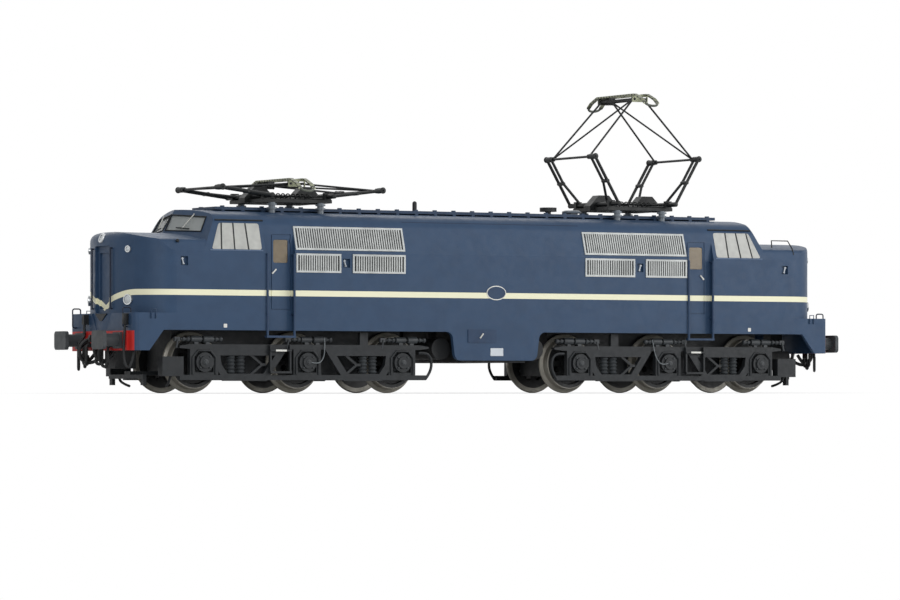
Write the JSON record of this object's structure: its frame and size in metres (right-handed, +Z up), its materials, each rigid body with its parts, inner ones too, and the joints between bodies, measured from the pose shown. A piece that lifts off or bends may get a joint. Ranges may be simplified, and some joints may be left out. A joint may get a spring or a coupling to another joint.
{
  "type": "model electric locomotive",
  "caption": "Scale model of a double-ended nosed electric locomotive with swivelling bogies, turning wheelsets and folding roof pantographs.",
  "frame": {"origin": "centre of the bounding box in plan, on the floor plane that the wheel flanges touch", "axes": "+X along the track towards the end with the raised pantograph, +Y across the track, away from the side in the picture, +Z up"},
  "size_m": [0.208, 0.035, 0.0746],
  "materials": {
    "body_blue": "satin",
    "silver": "satin",
    "black_plastic": "matt",
    "bogie_black": "matt",
    "ballast": "plain",
    "roof_grey": "matt",
    "insulator": "gloss",
    "glass": "clear",
    "interior": "matt",
    "lamp": "bright",
    "beam_red": "satin",
    "wheel_steel": "turned",
    "panto_grey": "satin"
  },
  "bodies": {
    "body": {"air_tanks": "black_plastic", "body_shell": "body_blue", "buffer_beam_a": "beam_red", "buffer_beam_b": "beam_red", "buffers_a": "black_plastic", "buffers_b": "black_plastic", "cab_glazing_a": "glass", "cab_glazing_b": "glass", "cab_interior_a": "interior", "cab_interior_b": "interior", "chassis": "black_plastic", "coupling_a": "black_plastic", "coupling_b": "black_plastic", "drive_block": "ballast", "end_rails_a": "black_plastic", "end_rails_b": "black_plastic", "grilles_far": "silver", "grilles_near": "silver", "handrails_far": "body_blue", "handrails_near": "body_blue", "hoses_a": "black_plastic", "hoses_b": "black_plastic", "lamps_a": "lamp", "lamps_b": "lamp", "panto_a_base": "panto_grey", "panto_b_base": "panto_grey", "roof_fittings": "black_plastic", "roof_insulators": "insulator", "roof_walkway": "roof_grey"},
    "bogie_a": {"bogie_a_brakes": "bogie_black", "bogie_a_frame": "bogie_black", "bogie_a_guard": "bogie_black", "bogie_a_sides": "bogie_black", "bogie_a_springs": "bogie_black", "bogie_a_steps": "bogie_black"},
    "wheelset_a_inner": {"wheelset_a_inner": "wheel_steel"},
    "wheelset_a_middle": {"wheelset_a_middle": "wheel_steel"},
    "wheelset_a_outer": {"wheelset_a_outer": "wheel_steel"},
    "bogie_b": {"bogie_b_brakes": "bogie_black", "bogie_b_frame": "bogie_black", "bogie_b_guard": "bogie_black", "bogie_b_sides": "bogie_black", "bogie_b_springs": "bogie_black", "bogie_b_steps": "bogie_black"},
    "wheelset_b_inner": {"wheelset_b_inner": "wheel_steel"},
    "wheelset_b_middle": {"wheelset_b_middle": "wheel_steel"},
    "wheelset_b_outer": {"wheelset_b_outer": "wheel_steel"},
    "panto_a_lower_first": {"panto_a_lower_first": "panto_grey"},
    "panto_a_upper_first": {"panto_a_upper_first": "panto_grey"},
    "panto_a_lower_second": {"panto_a_lower_second": "panto_grey"},
    "panto_a_upper_second": {"panto_a_upper_second": "panto_grey"},
    "panto_a_head": {"panto_a_head": "panto_grey"},
    "panto_b_lower_first": {"panto_b_lower_first": "panto_grey"},
    "panto_b_upper_first": {"panto_b_upper_first": "panto_grey"},
    "panto_b_lower_second": {"panto_b_lower_second": "panto_grey"},
    "panto_b_upper_second": {"panto_b_upper_second": "panto_grey"},
    "panto_b_head": {"panto_b_head": "panto_grey"}
  },
  "joints": [
    {"name": "bogie_a_swivel", "type": "hinge", "parent": "body", "child": "bogie_a", "pos_m": [-0.052, 0, 0.0153], "axis": [0, 0, 1], "range_deg": [-8, 8]},
    {"name": "wheelset_a_inner_spin", "type": "hinge", "parent": "bogie_a", "child": "wheelset_a_inner", "pos_m": [-0.0252, 0, 0.0073], "axis": [0, 1, 0], "continuous": true},
    {"name": "wheelset_a_middle_spin", "type": "hinge", "parent": "bogie_a", "child": "wheelset_a_middle", "pos_m": [-0.0511, 0, 0.0073], "axis": [0, 1, 0], "continuous": true},
    {"name": "wheelset_a_outer_spin", "type": "hinge", "parent": "bogie_a", "child": "wheelset_a_outer", "pos_m": [-0.0786, 0, 0.0073], "axis": [0, 1, 0], "continuous": true},
    {"name": "bogie_b_swivel", "type": "hinge", "parent": "body", "child": "bogie_b", "pos_m": [0.052, 0, 0.0153], "axis": [0, 0, 1], "range_deg": [-8, 8]},
    {"name": "wheelset_b_inner_spin", "type": "hinge", "parent": "bogie_b", "child": "wheelset_b_inner", "pos_m": [0.0252, 0, 0.0073], "axis": [0, 1, 0], "continuous": true},
    {"name": "wheelset_b_middle_spin", "type": "hinge", "parent": "bogie_b", "child": "wheelset_b_middle", "pos_m": [0.0511, 0, 0.0073], "axis": [0, 1, 0], "continuous": true},
    {"name": "wheelset_b_outer_spin", "type": "hinge", "parent": "bogie_b", "child": "wheelset_b_outer", "pos_m": [0.0786, 0, 0.0073], "axis": [0, 1, 0], "continuous": true},
    {"name": "panto_a_fold", "type": "hinge", "parent": "body", "child": "panto_a_lower_first", "pos_m": [-0.0586, 0, 0.0471], "axis": [0, 1, 0], "range_deg": [0, 52]},
    {"name": "panto_a_knee_first", "type": "hinge", "parent": "panto_a_lower_first", "child": "panto_a_upper_first", "pos_m": [-0.0719, 0, 0.04873], "axis": [0, 1, 0], "range_deg": [-95.94, 0]},
    {"name": "panto_a_lower_second_pivot", "type": "hinge", "parent": "body", "child": "panto_a_lower_second", "pos_m": [-0.0418, 0, 0.0471], "axis": [0, -1, 0], "range_deg": [0, 52.5]},
    {"name": "panto_a_knee_second", "type": "hinge", "parent": "panto_a_lower_second", "child": "panto_a_upper_second", "pos_m": [-0.0285, 0, 0.04873], "axis": [0, -1, 0], "range_deg": [-95.94, 0]},
    {"name": "panto_a_head_level", "type": "hinge", "parent": "panto_a_upper_first", "child": "panto_a_head", "pos_m": [-0.0518, 0, 0.05003], "axis": [0, 1, 0], "range_deg": [0, 43.94]},
    {"name": "panto_b_fold", "type": "hinge", "parent": "body", "child": "panto_b_lower_first", "pos_m": [0.0388, 0, 0.0471], "axis": [0, 1, 0], "range_deg": [-52, 0]},
    {"name": "panto_b_knee_first", "type": "hinge", "parent": "panto_b_lower_first", "child": "panto_b_upper_first", "pos_m": [0.0319, 0, 0.05859], "axis": [0, 1, 0], "range_deg": [0, 95.94]},
    {"name": "panto_b_lower_second_pivot", "type": "hinge", "parent": "body", "child": "panto_b_lower_second", "pos_m": [0.0556, 0, 0.0471], "axis": [0, -1, 0], "range_deg": [-52.5, 0]},
    {"name": "panto_b_knee_second", "type": "hinge", "parent": "panto_b_lower_second", "child": "panto_b_upper_second", "pos_m": [0.0625, 0, 0.05859], "axis": [0, -1, 0], "range_deg": [0, 95.94]},
    {"name": "panto_b_head_level", "type": "hinge", "parent": "panto_b_upper_first", "child": "panto_b_head", "pos_m": [0.0456, 0, 0.07335], "axis": [0, 1, 0], "range_deg": [-43.94, 0]}
  ],
  "couplings": [
    {"joint": "panto_a_knee_first", "follows": "panto_a_fold", "ratio": -1.8353},
    {"joint": "panto_a_lower_second_pivot", "follows": "panto_a_fold", "ratio": 1},
    {"joint": "panto_a_knee_second", "follows": "panto_a_fold", "ratio": -1.8353},
    {"joint": "panto_a_head_level", "follows": "panto_a_fold", "ratio": 0.83533},
    {"joint": "panto_b_knee_first", "follows": "panto_b_fold", "ratio": -1.8353},
    {"joint": "panto_b_lower_second_pivot", "follows": "panto_b_fold", "ratio": 1},
    {"joint": "panto_b_knee_second", "follows": "panto_b_fold", "ratio": -1.8353},
    {"joint": "panto_b_head_level", "follows": "panto_b_fold", "ratio": 0.83533}
  ]
}
